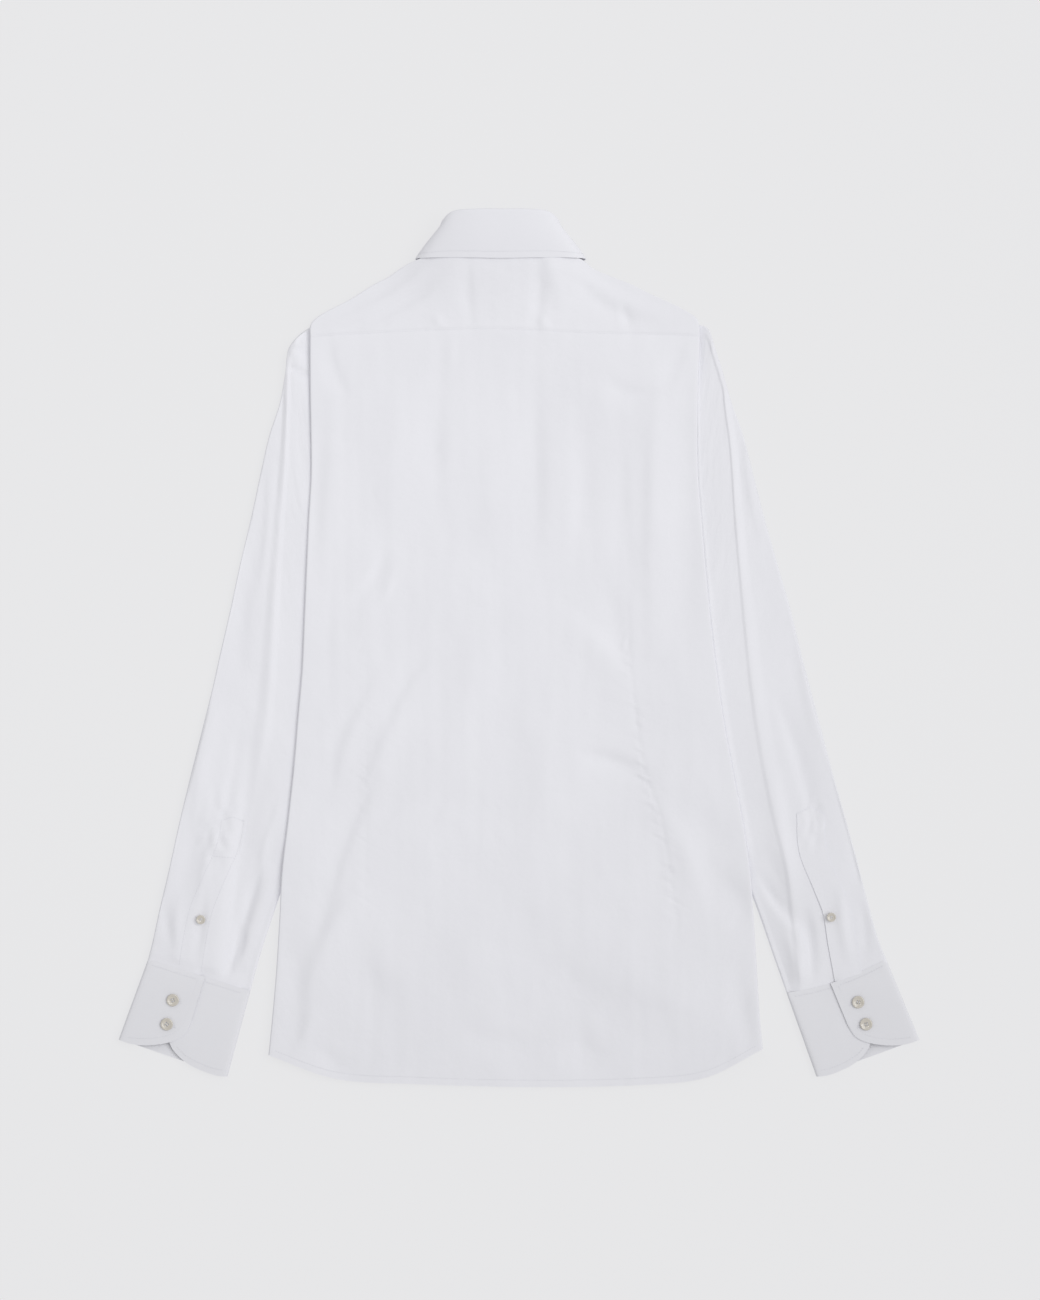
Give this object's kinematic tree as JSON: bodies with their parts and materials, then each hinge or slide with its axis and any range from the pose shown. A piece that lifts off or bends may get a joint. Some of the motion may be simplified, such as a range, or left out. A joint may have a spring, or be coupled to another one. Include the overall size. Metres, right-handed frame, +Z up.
{
  "type": "long sleeve dress shirt",
  "caption": "White slim long sleeve dress shirt with darted back, point collar and barrel cuffs, buttoned and laid flat face down.",
  "frame": {"origin": "centre of the outline, on the surface that the shirt lies on", "axes": "+Y from the hem to the collar, +Z up from the surface, towards the viewer of the back, +X to the viewer's right"},
  "size_m": [0.745, 0.814, 0.0345],
  "materials": {
    "shirt_cloth": "matte",
    "shell_button": "gloss"
  },
  "bodies": {
    "root": {"back": "shirt_cloth", "yoke": "shirt_cloth", "front_left": "shirt_cloth", "front_right": "shirt_cloth", "sleeve_left": "shirt_cloth", "sleeve_right": "shirt_cloth", "gauntlet_left": "shirt_cloth", "gauntlet_right": "shirt_cloth", "cuff_left": "shirt_cloth", "cuff_right": "shirt_cloth", "collar_stand": "shirt_cloth", "collar_fall": "shirt_cloth", "cuff_button_left_1": "shell_button", "cuff_button_left_2": "shell_button", "cuff_button_right_1": "shell_button", "cuff_button_right_2": "shell_button", "gauntlet_button_left": "shell_button", "gauntlet_button_right": "shell_button", "front_button_1": "shell_button", "front_button_2": "shell_button", "front_button_3": "shell_button", "front_button_4": "shell_button", "front_button_5": "shell_button", "front_button_6": "shell_button", "collar_button": "shell_button"}
  },
  "joints": []
}
